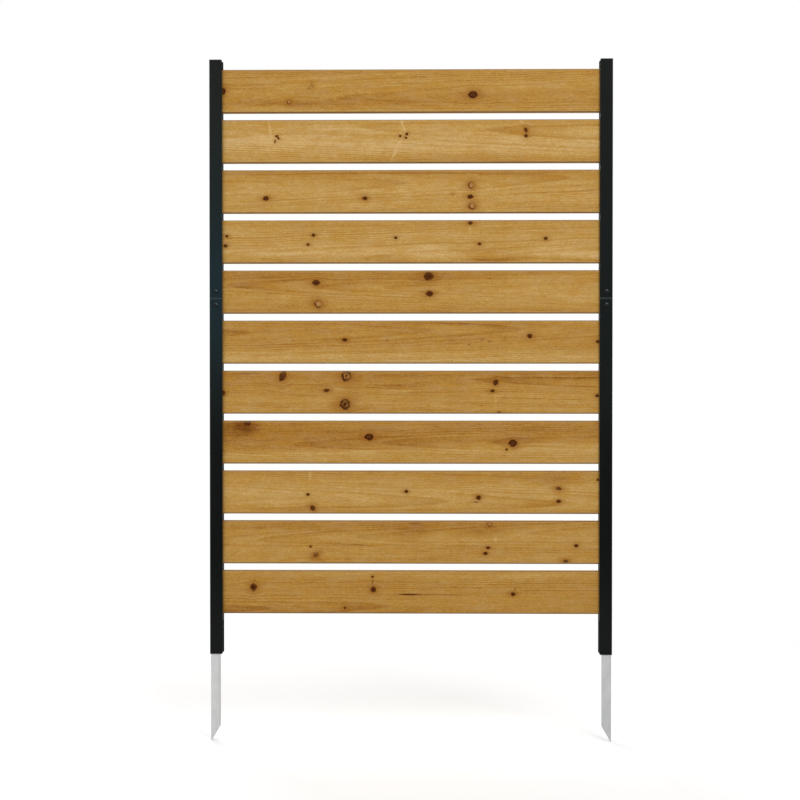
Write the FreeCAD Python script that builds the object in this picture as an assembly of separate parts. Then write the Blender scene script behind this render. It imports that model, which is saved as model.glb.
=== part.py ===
import FreeCAD, Part
import math
import os

from FreeCAD import Vector

# Garden privacy screen: eleven fir boards slide into two black folded-steel channel posts,
# and two galvanised stakes carry the posts in the ground.
#
# X runs across the screen, Y from the front (-Y) to the back, and Z is up.
# The origin lies midway between the posts, at the ground line where the posts end.
# All lengths are in millimetres.

# Overall
screen_width = 914.0            # over the outer faces of the two posts
stack_base_height = 92.0        # from the ground line to the bottom board
post_head_room = 22.0           # post standing above the top board

# Boards
slat_count = 11
slat_height = 98.0
slat_thickness = 15.0
slat_gap = 15.8                 # daylight between two boards
slat_edge_radius = 2.0          # eased long edges
slat_end_play = 1.3             # from a board's end to the splice's web

# Channel posts
post_face_width = 29.0          # front and back flange, seen from the front
post_wall = 1.5
post_bend_radius = 0.8          # inside the folds
post_corner_radius = 3.0        # free corners at the head and the foot
slat_side_room = 5.0            # from a board's face to the inside of a flange
seam_slat = 5                   # the board, counted from the top, that covers the seam
seam_rise = 34.2                # seam above that board's lower edge
seam_gap = 0.3                  # between the two post sections

# Splice channels inside the posts
splice_wall = 1.5
splice_clearance = 0.2          # to the post, all round
splice_setback = 2.0            # behind the post flange's free edge
splice_end_clearance = 3.2      # from the splice's lower end to the spacer below it
splice_screw_offset = 15.0      # each screw from the seam

# Spacers between the boards
spacer_lip = 3.0                # how far the cheeks reach past a board's edge
spacer_clearance = 0.3          # to the post
spacer_slat_clearance = 0.2     # to each face of the board
spacer_setback = 1.5            # behind the post flange's free edge
spacer_wall = 2.0
spacer_lead_in = 1.0            # bevel that guides a board between the cheeks

# Ground stakes
stake_width = 20.0
stake_wall = 1.5
stake_bend_radius = 0.8         # inside the tube's corners
stake_clearance = 0.3           # to the post
stake_reach = 198.0             # from the ground line to the tip
stake_cut_angle = 60.0          # degrees between the point's slope and the horizontal
stake_tip_width = 1.5           # blunt end of the point
stake_screw_margin = 18.0       # from the foot, and from the top of the stake

# Pan-head screws and the tapped collars drawn out of the sheet they bite into
screw_diameter = 5.0
screw_head_diameter = 10.0
screw_head_height = 3.0
screw_head_rim = 1.2            # straight side of the head
screw_crown_diameter = 7.0      # flat top inside the sloping shoulder
screw_end_proud = 0.3           # past the end of the collar
screw_recess_span = 5.0
screw_recess_width = 1.3
screw_recess_depth = 1.6
screw_hole_clearance = 0.5      # on the diameter, in the post
thread_clearance = 0.1          # on the diameter, in the collar
collar_wall = 1.2
collar_height = 1.5

# Worked out from the sizes above
slat_pitch = slat_height + slat_gap
stack_height = slat_count * slat_height + (slat_count - 1) * slat_gap
post_height = stack_base_height + stack_height + post_head_room
post_inner_depth = slat_thickness + 2 * slat_side_room
post_depth = post_inner_depth + 2 * post_wall
post_front = -post_depth / 2
post_back = post_depth / 2
splice_inset = post_wall + splice_clearance
slat_inset = splice_inset + splice_wall + slat_end_play
spacer_inset = post_wall + spacer_clearance
spacer_depth = post_inner_depth - 2 * spacer_clearance
stake_inset = post_wall + stake_clearance
stake_depth = post_inner_depth - 2 * stake_clearance
collar_radius = screw_diameter / 2 + thread_clearance / 2 + collar_wall
BEYOND = 5.0                    # how far a cutting shape runs past what it cuts


def slat_bottom(number):
    """Height of a board's lower edge; board 1 is the top one."""
    return stack_base_height + (slat_count - number) * slat_pitch


seam_height = slat_bottom(seam_slat) + seam_rise
splice_half_length = seam_rise - spacer_lip - splice_end_clearance
stake_top = stack_base_height - slat_gap - spacer_lip


def across(inset):
    """X of a point that lies this far in from the right post's outer face."""
    return screen_width / 2 - inset


def on_plan(height):
    """Drawing plane seen from above, at this height."""
    return lambda x, y: Vector(x, y, height)


def on_elevation(y):
    """Drawing plane seen from the front, at this depth."""
    return lambda x, z: Vector(x, y, z)


def on_end(x):
    """Drawing plane seen from the side, at this X."""
    return lambda y, z: Vector(x, y, z)


def rounded_face(corners, plane):
    """Face inside straight sides whose corners (u, v, radius) are rounded by tangent arcs."""
    starts, mids, ends = [], [], []
    for index, (u, v, radius) in enumerate(corners):
        point = plane(u, v)
        if radius <= 0:
            starts.append(point)
            mids.append(None)
            ends.append(point)
            continue
        before = plane(*corners[index - 1][:2]) - point
        after = plane(*corners[(index + 1) % len(corners)][:2]) - point
        half_angle = before.getAngle(after) / 2
        before.normalize()
        after.normalize()
        inward = before + after
        inward.normalize()
        tangent = radius / math.tan(half_angle)
        starts.append(point + before * tangent)
        mids.append(point + inward * (radius / math.sin(half_angle) - radius))
        ends.append(point + after * tangent)
    edges = []
    for index, mid in enumerate(mids):
        if mid is not None:
            edges.append(Part.Arc(starts[index], mid, ends[index]).toShape())
        following = starts[(index + 1) % len(corners)]
        edges.append(Part.LineSegment(ends[index], following).toShape())
    return Part.Face(Part.Wire(edges))


def block_corners(low, high, radius=0.0):
    """Corners of an upright rectangle with the same radius all round."""
    return [(low[0], low[1], radius), (high[0], low[1], radius),
            (high[0], high[1], radius), (low[0], high[1], radius)]


def folded_channel(inset, free_inset, depth, wall, bend_radius, bottom, top):
    """Folded channel whose web faces outwards and whose two flanges point at the boards."""
    web_out, web_in = across(inset), across(inset + wall)
    free_edge = across(free_inset)
    half = depth / 2
    fold = bend_radius + wall
    corners = [(free_edge, -half, 0), (web_out, -half, fold), (web_out, half, fold),
               (free_edge, half, 0), (free_edge, half - wall, 0),
               (web_in, half - wall, bend_radius), (web_in, -half + wall, bend_radius),
               (free_edge, -half + wall, 0)]
    section = rounded_face(corners, on_plan(bottom))
    return section.extrude(Vector(0, 0, top - bottom))


def flange_outline(inset, free_inset, depth, bottom, top, bottom_radius, top_radius):
    """Slab that rounds a channel's free corners when the two are intersected."""
    web_out, free_edge = across(inset) + BEYOND, across(free_inset)
    corners = [(web_out, bottom, 0), (free_edge, bottom, bottom_radius),
               (free_edge, top, top_radius), (web_out, top, 0)]
    face = rounded_face(corners, on_elevation(-depth / 2 - BEYOND))
    return face.extrude(Vector(0, depth + 2 * BEYOND, 0))


def drilling(x, z, y, radius, length):
    """Round bar along +Y from this depth."""
    return Part.makeCylinder(radius, length, Vector(x, y, z), Vector(0, 1, 0))


screw_x = across(post_face_width / 2)
splice_screw_heights = [seam_height - splice_screw_offset, seam_height + splice_screw_offset]
stake_screw_heights = [stake_screw_margin, stake_top - stake_screw_margin]
post_hole_radius = (screw_diameter + screw_hole_clearance) / 2
tapped_hole_radius = (screw_diameter + thread_clearance) / 2


def flange_hole(y, z):
    """Clearance hole through one flange of a post whose outer side lies at this depth."""
    return drilling(screw_x, z, y - BEYOND, post_hole_radius, 2 * BEYOND)


def post_section(bottom, top, bottom_radius, top_radius):
    """One length of a channel post with its free corners rounded."""
    channel = folded_channel(0, post_face_width, post_depth, post_wall, post_bend_radius,
                             bottom, top)
    outline = flange_outline(0, post_face_width, post_depth, bottom, top,
                             bottom_radius, top_radius)
    return channel.common(outline)


def post_lower():
    """Lower section: foot on the ground line, head under the seam."""
    section = post_section(0, seam_height - seam_gap / 2, post_corner_radius, 0)
    section = section.cut(flange_hole(post_front, splice_screw_heights[0]))
    for height in stake_screw_heights:
        section = section.cut(flange_hole(post_back, height))
    return section


def post_upper():
    """Upper section: from the seam to the open head where the boards slide in."""
    section = post_section(seam_height + seam_gap / 2, post_height, 0, post_corner_radius)
    return section.cut(flange_hole(post_front, splice_screw_heights[1]))


def tapped(sheet, outside, inside, heights):
    """Adds collars on the inside of a sheet that lies between two depths, and taps them."""
    inward = 1 if inside > outside else -1
    for height in heights:
        root = min(inside, inside + inward * collar_height)
        collar = drilling(screw_x, height, root, collar_radius, collar_height)
        sheet = sheet.fuse(collar)
    for height in heights:
        start = min(outside, inside + inward * collar_height) - 1
        length = abs(inside - outside) + collar_height + 2
        sheet = sheet.cut(drilling(screw_x, height, start, tapped_hole_radius, length))
    return sheet.removeSplitter()


def post_splice():
    """Short channel nested in the post that bridges the seam behind the front flange."""
    free_inset = post_face_width - splice_setback
    depth = post_inner_depth - 2 * splice_clearance
    bottom = seam_height - splice_half_length
    top = seam_height + splice_half_length
    channel = folded_channel(splice_inset, free_inset, depth, splice_wall, post_bend_radius,
                             bottom, top)
    outline = flange_outline(splice_inset, free_inset, depth, bottom, top,
                             post_corner_radius, post_corner_radius)
    channel = channel.common(outline)
    return tapped(channel, -depth / 2, -depth / 2 + splice_wall, splice_screw_heights)


def ground_stake():
    """Rectangular tube, tapped in its back wall and cut off at a slope to an outer point."""
    outer, inner = across(stake_inset), across(stake_inset + stake_width)
    half = stake_depth / 2
    outer_corners = block_corners((inner, -half), (outer, half), stake_bend_radius + stake_wall)
    bore_corners = block_corners((inner + stake_wall, -half + stake_wall),
                                 (outer - stake_wall, half - stake_wall), stake_bend_radius)
    section = rounded_face(outer_corners, on_plan(-stake_reach))
    bore = rounded_face(bore_corners, on_plan(-stake_reach))
    tube = section.cut(bore).extrude(Vector(0, 0, stake_top + stake_reach))
    slope = math.tan(math.radians(stake_cut_angle))
    cut_start = outer - stake_tip_width
    cut_run = cut_start - inner + BEYOND
    wedge_corners = [(cut_start, -stake_reach, 0), (cut_start, -stake_reach - BEYOND, 0),
                     (cut_start - cut_run, -stake_reach - BEYOND, 0),
                     (cut_start - cut_run, -stake_reach + cut_run * slope, 0)]
    wedge = rounded_face(wedge_corners, on_elevation(-half - BEYOND))
    tube = tube.cut(wedge.extrude(Vector(0, stake_depth + 2 * BEYOND, 0)))
    return tapped(tube, half, half - stake_wall, stake_screw_heights)


def slat(number):
    """One board with its four long edges eased."""
    end, half = across(slat_inset), slat_thickness / 2
    bottom = slat_bottom(number)
    corners = block_corners((-half, bottom), (half, bottom + slat_height), slat_edge_radius)
    return rounded_face(corners, on_end(-end)).extrude(Vector(2 * end, 0, 0))


def slat_spacer(number):
    """Moulded spacer under a board's end: cheeks hold the board in the middle of the post."""
    top = slat_bottom(number)
    bottom = top - slat_gap
    half = spacer_depth / 2
    pocket = slat_thickness / 2 + spacer_slat_clearance
    mouth = pocket + spacer_lead_in
    low_lip, high_lip = bottom - spacer_lip, top + spacer_lip
    low_lead, high_lead = low_lip + spacer_lead_in, high_lip - spacer_lead_in
    outline = [(-half, low_lip), (-mouth, low_lip), (-pocket, low_lead), (-pocket, bottom),
               (pocket, bottom), (pocket, low_lead), (mouth, low_lip), (half, low_lip),
               (half, high_lip), (mouth, high_lip), (pocket, high_lead), (pocket, top),
               (-pocket, top), (-pocket, high_lead), (-mouth, high_lip), (-half, high_lip)]
    corners = [(y, z, 0) for y, z in outline]
    free_edge, web_side = across(post_face_width - spacer_setback), across(spacer_inset)
    body = rounded_face(corners, on_end(free_edge)).extrude(Vector(web_side - free_edge, 0, 0))
    core_corners = block_corners((-half + spacer_wall, bottom + spacer_wall),
                                 (half - spacer_wall, top - spacer_wall))
    core = rounded_face(core_corners, on_end(free_edge + spacer_wall))
    return body.cut(core.extrude(Vector(web_side - free_edge, 0, 0)))


def cross_recess():
    """Cross-shaped driving recess sunk into the crown of a screw at the origin."""
    arm, half = screw_recess_span / 2, screw_recess_width / 2
    quarter = [(arm, -half), (arm, half), (half, half)]
    outline = []
    for _ in range(4):
        outline += [(u, v, 0) for u, v in quarter]
        quarter = [(-v, u) for u, v in quarter]
    floor = rounded_face(outline, on_elevation(-screw_head_height + screw_recess_depth))
    return floor.extrude(Vector(0, -screw_head_height, 0))


def pan_screw(sheet_wall, gap):
    """Screw at the origin along Y: head towards -Y, shank through a post into a collar."""
    head, shank, crown = screw_head_diameter / 2, screw_diameter / 2, screw_crown_diameter / 2
    tip = post_wall + gap + sheet_wall + collar_height + screw_end_proud
    profile = [(0, tip), (shank, tip), (shank, 0), (head, 0), (head, -screw_head_rim),
               (crown, -screw_head_height), (0, -screw_head_height)]
    half_section = rounded_face([(x, y, 0) for x, y in profile], on_plan(0))
    body = half_section.revolve(Vector(0, 0, 0), Vector(0, 1, 0), 360)
    return body.cut(cross_recess())


def on_both_posts(screw, y, heights):
    """The same screw at these heights in the left and the right post, as separate solids."""
    places = [Vector(x, y, height) for x in (-screw_x, screw_x) for height in heights]
    return Part.makeCompound([screw.translated(place) for place in places])


def splice_screws():
    """Four screws in the front flanges: one above and one below the seam of each post."""
    screw = pan_screw(splice_wall, splice_clearance)
    return on_both_posts(screw, post_front, splice_screw_heights)


def stake_screws():
    """Four screws in the back flanges: two hold each post on its stake."""
    screw = pan_screw(stake_wall, stake_clearance)
    screw = screw.rotated(Vector(0, 0, 0), Vector(0, 0, 1), 180)
    return on_both_posts(screw, post_back, stake_screw_heights)


def save(name, shape):
    """Writes one piece to parts/NAME.step."""
    shape.exportStep(os.path.join("parts", name + ".step"))


def save_pair(name, shape):
    """Writes a right-hand piece and its mirror image, the left-hand one."""
    save("right_" + name, shape)
    save("left_" + name, shape.mirror(Vector(0, 0, 0), Vector(1, 0, 0)))


def main():
    os.makedirs("parts", exist_ok=True)
    for number in range(1, slat_count + 1):
        save(f"slat_{number:02d}", slat(number))
        save_pair(f"slat_spacer_{number:02d}", slat_spacer(number))
    save_pair("post_upper", post_upper())
    save_pair("post_lower", post_lower())
    save_pair("post_splice", post_splice())
    save_pair("ground_stake", ground_stake())
    save("splice_screws", splice_screws())
    save("stake_screws", stake_screws())


main()
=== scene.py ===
import math
from collections import namedtuple

import bmesh
import bpy
from bpy.props import FloatProperty, FloatVectorProperty, IntProperty, PointerProperty
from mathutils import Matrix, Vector


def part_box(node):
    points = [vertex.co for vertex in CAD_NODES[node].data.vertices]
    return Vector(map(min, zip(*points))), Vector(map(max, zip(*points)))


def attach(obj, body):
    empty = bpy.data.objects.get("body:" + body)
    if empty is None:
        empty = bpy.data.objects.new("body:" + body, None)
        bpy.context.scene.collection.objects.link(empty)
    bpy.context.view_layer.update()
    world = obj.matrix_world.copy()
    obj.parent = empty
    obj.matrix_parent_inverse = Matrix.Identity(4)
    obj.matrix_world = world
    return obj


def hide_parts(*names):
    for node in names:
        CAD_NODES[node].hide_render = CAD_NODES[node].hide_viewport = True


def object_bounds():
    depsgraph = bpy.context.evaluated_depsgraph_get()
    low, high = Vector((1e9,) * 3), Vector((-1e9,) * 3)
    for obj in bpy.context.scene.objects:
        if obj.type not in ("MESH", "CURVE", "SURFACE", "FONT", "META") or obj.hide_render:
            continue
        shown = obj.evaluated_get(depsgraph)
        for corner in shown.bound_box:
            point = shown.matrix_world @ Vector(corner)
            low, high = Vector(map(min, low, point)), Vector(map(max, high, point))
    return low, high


# Looks of a garden privacy screen: eleven fir boards in two black channel posts on two
# galvanised stakes. The frame is in metres, X across, Y from the front to the back, Z up.
# Materials are written in millimetres: Finish.place gives a point's X, Y and Z in them, and
# each noise gets them divided by how far it stretches along that axis.

bl_info = {
    "name": "Garden privacy screen",
    "version": (1, 0, 0),
    "blender": (4, 5, 0),
    "location": "View3D > Sidebar > Screen",
    "description": "Finishes, screws and studio for a slatted garden privacy screen",
    "category": "Object",
}

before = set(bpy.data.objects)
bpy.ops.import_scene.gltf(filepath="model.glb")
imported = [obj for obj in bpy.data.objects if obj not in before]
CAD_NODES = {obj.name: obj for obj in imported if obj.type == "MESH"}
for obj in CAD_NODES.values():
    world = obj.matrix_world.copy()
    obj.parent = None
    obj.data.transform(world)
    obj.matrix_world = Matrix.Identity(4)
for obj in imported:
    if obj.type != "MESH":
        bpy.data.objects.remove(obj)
cad_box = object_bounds()

MM = 0.001
FRONT = cad_box[0].y
STAKE_TIP = cad_box[0].z
BOARD_NAMES = sorted(name for name in CAD_NODES if name.startswith("slat_"))
SPACER_NAMES = sorted(name for name in CAD_NODES if "_slat_spacer_" in name)
POST_NAMES = sorted(name for name in CAD_NODES if "_post_" in name and "splice" not in name)
SPLICE_NAMES = sorted(name for name in CAD_NODES if name.endswith("_post_splice"))
STAKE_NAMES = sorted(name for name in CAD_NODES if name.endswith("_ground_stake"))

# How much of the cool black a powder-coated piece shows, and how much of the darker black it shows
# all over (on the right post this is painted shade), by how its name starts.
CASTS = {"left_post": (0.9, 0.0), "right_post": (0.3, 0.7), "splices": (0.5, 0.3)}

# The lamps: place, side of the square and watts.
LAMPS = {"key_lamp": ((1.5, -3.0, 2.7), 1.8, 62), "fill_lamp": ((-2.6, -2.6, 1.2), 2.2, 30),
         "back_lamp": ((-1.2, 3.0, 2.4), 2.0, 60)}
WHITE = 1.0           # strength at which the background shows as white
WORLD_LIGHT = 0.42    # strength with which the surroundings light the screen
FLOOR_VEIL = 0.34     # light of the floor's own near the screen, so that only shadows show
SHADOW_NEAR, SHADOW_FAR = 700, 2600    # the floor's shadows fade between these, in millimetres

SHARP_ANGLE = math.radians(32)         # screw faces that meet at more than this keep their edge
FIRST_TURN, NEXT_TURN = 17, 49         # degrees by which the screws' recesses are turned


def srgb(red, green, blue):
    """A colour as a picture shows it, 0 to 255, in the linear values that Blender works in."""
    shares = [channel / 255 for channel in (red, green, blue)]
    return tuple(s / 12.92 if s <= 0.04045 else ((s + 0.055) / 1.055) ** 2.4 for s in shares)


# ---------------- sizes and colours


def length(name, description, default):
    """A size in metres that the sidebar shows in the scene's own unit."""
    return FloatProperty(name=name, description=description, default=default,
                         min=0, unit="LENGTH", precision=5)


def angle(name, description, degrees):
    """An angle that the sidebar shows in degrees."""
    return FloatProperty(name=name, description=description, default=math.radians(degrees),
                         subtype="ANGLE")


def colour(name, description, red, green, blue):
    """A colour, written as a picture shows it."""
    return FloatVectorProperty(name=name, description=description, subtype="COLOR", size=3,
                               min=0, max=1, default=srgb(red, green, blue))


class ScreenSizes(bpy.types.PropertyGroup):
    """Sizes of the screws, the grain and the studio."""

    ring_spacing: length("Ring spacing", "From one growth ring to the next", 0.0034)
    head_diameter: length("Head diameter", "Across a pan head", 0.010)
    head_height: length("Head height", "From the sheet to the top of a pan head", 0.003)
    head_rim: length("Head rim", "Straight side of a pan head", 0.0011)
    shank_diameter: length("Shank diameter", "Over the crests of the thread", 0.005)
    thread_pitch: length("Thread pitch", "From one crest to the next", 0.0008)
    thread_depth: length("Thread depth", "From a crest to the root", 0.00045)
    recess_span: length("Recess span", "Across the cross recess", 0.0052)
    recess_width: length("Recess width", "Width of one arm of the cross", 0.0012)
    recess_depth: length("Recess depth", "Depth of the cross recess", 0.0017)
    head_sides: IntProperty(name="Head sides", description="Facets round a screw",
                            default=48, min=12)
    camera_distance: length("Camera distance", "From the camera to the front of the screen", 3.6)
    camera_turn: angle("Camera turn", "How far the camera stands to the right", 0.9)
    camera_tilt: angle("Camera tilt", "How far the camera looks down", 0.77)
    aim_side: FloatProperty(name="Aim sideways", unit="LENGTH", default=-0.0242, precision=4,
                            description="X of the point in the middle of the picture")
    aim_height: length("Aim height", "Z of the point in the middle of the picture", 0.5786)
    picture_width: length("Picture width", "Width that the picture takes in at the screen", 1.813)
    floor_radius: length("Floor radius", "Of the round floor", 9.0)


class ScreenColours(bpy.types.PropertyGroup):
    """Colours of the finishes."""

    crack: colour("Crack", "Shakes and resin streaks", 80, 42, 12)
    heart_dark: colour("Dark heartwood", "Darkest stripes of the boards", 138, 89, 31)
    heart: colour("Heartwood", "Orange-brown part of the boards", 164, 115, 48)
    golden: colour("Golden fir", "Most of the boards", 180, 136, 64)
    sapwood: colour("Sapwood", "Paler part of the boards", 191, 151, 82)
    sap_pale: colour("Pale sapwood", "Palest bands of the boards", 206, 171, 114)
    bloom: colour("Bloom", "Greyish veil on parts of the boards", 186, 150, 102)
    amber: colour("Amber", "Resin-rich parts of the boards", 184, 130, 44)
    knot: colour("Knot", "Inside of a knot", 58, 22, 3)
    knot_light: colour("Knot centre", "Light centre of a ring knot", 182, 136, 80)
    knot_halo: colour("Knot halo", "Resin-stained wood round a knot", 144, 86, 22)
    end_grain: colour("End grain", "Sawn ends of the boards", 146, 108, 62)
    # This colour is also painted shade along the boards' lower edges and beside the posts.
    arris: colour("Arris", "Worn and shaded long edges of the boards", 92, 68, 38)
    coat: colour("Powder coat", "Black of the posts", 26, 29, 27)
    coat_cool: colour("Cool powder coat", "Bluish black near the seams", 24, 42, 48)
    # This colour is also painted shade over the whole right post.
    coat_warm: colour("Warm powder coat", "Black near the ground", 4, 7, 5)
    # This colour is also a painted highlight along the posts' sheared edges.
    coat_wear_and_highlight: colour("Worn powder coat", "Rubbed corners and sheared edges", 76, 82, 84)
    zinc: colour("Zinc", "Galvanised stakes", 199, 200, 199)
    # This colour is also painted shade on the right stake.
    zinc_dull: colour("Dull zinc", "Darker spangles", 181, 183, 183)
    zinc_stain: colour("Stained zinc", "Stains near the point", 140, 139, 134)
    bolt: colour("Screw black", "Blackened screws", 6, 8, 10)
    # This colour is also the painted highlight on the upper right of the screw heads.
    bolt_rubs_and_highlight: colour("Rubbed screw", "Rims of the screws", 92, 101, 105)
    plastic: colour("Spacer plastic", "Moulded spacers", 26, 27, 28)
    floor: colour("Floor", "Pale studio floor", 238, 238, 238)


# ---------------- shader expressions


class Wire:
    """A socket of a node tree. Arithmetic on wires adds the Math nodes it needs."""

    def __init__(self, maker, socket):
        self.maker = maker
        self.socket = socket

    def math(self, operation, *values):
        settings = {"operation": operation}
        return self.maker.node("ShaderNodeMath", settings, dict(enumerate(values)))

    def __add__(self, other):
        return self.math("ADD", self, other)

    def __radd__(self, other):
        return self.math("ADD", other, self)

    def __sub__(self, other):
        return self.math("SUBTRACT", self, other)

    def __rsub__(self, other):
        return self.math("SUBTRACT", other, self)

    def __mul__(self, other):
        return self.math("MULTIPLY", self, other)

    def __rmul__(self, other):
        return self.math("MULTIPLY", other, self)

    def __truediv__(self, other):
        return self.math("DIVIDE", self, other)

    def __abs__(self):
        return self.math("ABSOLUTE", self)

    def most(self, other):
        return self.math("MAXIMUM", self, other)

    def least(self, other):
        return self.math("MINIMUM", self, other)

    def sine(self):
        return self.math("SINE", self)

    def root(self):
        return self.math("SQRT", self)

    def fraction(self):
        return self.math("FRACT", self)

    def fade(self):
        """A bell over a squared distance: 1 where it is 0, falling as it grows."""
        return self.math("EXPONENT", self * -1.0)

    def between(self, low, high):
        """0 at low, 1 at high and a smooth step between them; low may be the larger."""
        settings = {"interpolation_type": "SMOOTHSTEP"}
        inputs = {"Value": self, "From Min": low, "From Max": high}
        return self.maker.node("ShaderNodeMapRange", settings, inputs)


class Tree:
    """A node tree under construction. The method node adds each of its nodes."""

    def __init__(self, tree):
        self.tree = tree

    def node(self, kind, settings, inputs, output=0):
        """Adds one node: its settings first, then the values or links of its sockets."""
        made = self.tree.nodes.new(kind)
        for name, value in settings.items():
            if name == "stops":
                self.set_stops(made.color_ramp, value)
            else:
                setattr(made, name, value)
        for key, value in inputs.items():
            self.feed(made.inputs[key], value)
        return Wire(self, made.outputs[output])

    def set_stops(self, ramp, stops):
        """Gives a colour ramp its stops, each a place and a colour."""
        while len(ramp.elements) < len(stops):
            ramp.elements.new(1)
        for element, (place, shade) in zip(ramp.elements, stops):
            element.position = place
            element.color = (*shade, 1)

    def feed(self, socket, value):
        """Links a wire to a socket, or sets a plain number, vector or colour on it."""
        if isinstance(value, Wire):
            self.tree.links.new(value.socket, socket)
        elif socket.type == "RGBA":
            socket.default_value = (*value, 1)
        else:
            socket.default_value = value

    def use(self, recipe, *inputs):
        """Adds a recipe with its inputs in order, and returns the wires of its results."""
        settings = {"node_tree": recipe.tree}
        first = self.node("ShaderNodeGroup", settings, dict(enumerate(inputs)))
        return [Wire(self, socket) for socket in first.socket.node.outputs]

    def vector(self, x, y, z):
        """A vector put together from three numbers."""
        return self.node("ShaderNodeCombineXYZ", {}, {"X": x, "Y": y, "Z": z})

    def parts(self, vector):
        """The three numbers of a vector."""
        first = self.node("ShaderNodeSeparateXYZ", {}, {"Vector": vector})
        return [Wire(self, socket) for socket in first.socket.node.outputs]

    def oval(self, spot, middle, turn, half_size):
        """A point as seen from an oval whose outline is 1 away from its middle."""
        inputs = {"Vector": spot, "Location": middle, "Rotation": turn, "Scale": half_size}
        seen = self.node("ShaderNodeMapping", {"vector_type": "TEXTURE"}, inputs)
        along, _, up = self.parts(seen)
        return along, up

    def noise(self, x, y, z, detail=2.0, roughness=0.5):
        """Soft noise from 0 to 1 that varies over about one unit of its coordinates."""
        inputs = {"Vector": self.vector(x, y, z), "Scale": 1.0, "Detail": detail,
                  "Roughness": roughness}
        return self.node("ShaderNodeTexNoise", {}, inputs, "Fac")

    def cells(self, x, y, z):
        """Cells about one unit across, each with a random number from 0 to 1."""
        inputs = {"Vector": self.vector(x, y, z), "Scale": 1.0}
        shade = self.node("ShaderNodeTexVoronoi", {"feature": "F1"}, inputs, "Color")
        return self.node("ShaderNodeSeparateColor", {}, {"Color": shade})

    def ramp(self, value, stops):
        """A colour that changes with a value through the given stops."""
        return self.node("ShaderNodeValToRGB", {"stops": stops}, {"Fac": value})

    def mix(self, share, first, second):
        """The first colour where the share is 0, the second where it is 1."""
        factor, first_colour, second_colour, result = 0, 6, 7, 2
        inputs = {factor: share, first_colour: first, second_colour: second}
        return self.node("ShaderNodeMix", {"data_type": "RGBA"}, inputs, result)


class Recipe(Tree):
    """A node group: shader maths that several finishes share."""

    KINDS = {float: "NodeSocketFloat", Vector: "NodeSocketVector"}

    def __init__(self, name, **inputs):
        super().__init__(bpy.data.node_groups.new(name, "ShaderNodeTree"))
        for each, kind in inputs.items():
            self.tree.interface.new_socket(each, in_out="INPUT", socket_type=self.KINDS[kind])
        self.inputs = self.tree.nodes.new("NodeGroupInput").outputs
        self.results = self.tree.nodes.new("NodeGroupOutput").inputs

    def given(self):
        """Wires of the inputs, in order."""
        return [Wire(self, socket) for socket in self.inputs if socket.name]

    def give(self, **results):
        """Names and links the results."""
        for name, wire in results.items():
            kind = "NodeSocketColor" if wire.socket.type == "RGBA" else "NodeSocketFloat"
            self.tree.interface.new_socket(name, in_out="OUTPUT", socket_type=kind)
            self.feed(self.results[name], wire)


class Finish(Tree):
    """A material under construction, with its Principled shader."""

    def __init__(self, name):
        self.material = bpy.data.materials.new(name)
        self.material.use_nodes = True
        super().__init__(self.material.node_tree)
        self.shader = self.tree.nodes["Principled BSDF"]

    def surface(self, **inputs):
        """Sets or links sockets of the Principled shader: base_color stands for Base Color."""
        for name, value in inputs.items():
            socket = name.replace("_", " ").title().replace("Ior", "IOR")
            self.feed(self.shader.inputs[socket], value)

    def place(self):
        """X, Y and Z of the shaded point in millimetres, in the part's own frame."""
        coordinates = self.node("ShaderNodeTexCoord", {}, {}, "Object")
        return [wire * (1 / MM) for wire in self.parts(coordinates)]

    def bump(self, height, strength=1.0):
        """Relief whose height is given in millimetres."""
        inputs = {"Height": height, "Distance": MM, "Strength": strength}
        return self.node("ShaderNodeBump", {}, inputs, "Normal")


def greys(stops):
    """Ramp stops that carry a plain number."""
    return [(place, (value, value, value)) for place, value in stops]


def dress(names, material):
    """Gives CAD nodes their finish."""
    for name in names:
        for slot in CAD_NODES[name].material_slots:
            slot.material = material


# ---------------- fir boards

# A knot: its middle across the screen and above the board's middle, its size, how dark its
# core and rim are, and its lean in degrees. All in millimetres.
Knot = namedtuple("Knot", "x z width height core rim lean", defaults=(0,))

# A streak: a long soft mark that is darker (below 0) or paler (above 0) than its board.
Streak = namedtuple("Streak", "x z length height tone lean", defaults=(0,))

# A board, from top to bottom of the screen. tone gives heights above its middle with how pale
# it is there, from 0 (dark heartwood) to 1 (pale sapwood); drift is how much paler it gets per
# metre to the right and tilt how far its bands climb per metre. pith is how far behind the
# front and how far above the middle the tree's pith ran, with its lean per metre both ways.
# knots and streaks are rows of the values of a Knot and a Streak.
Board = namedtuple("Board", "tone drift tilt pith knots streaks")

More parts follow.
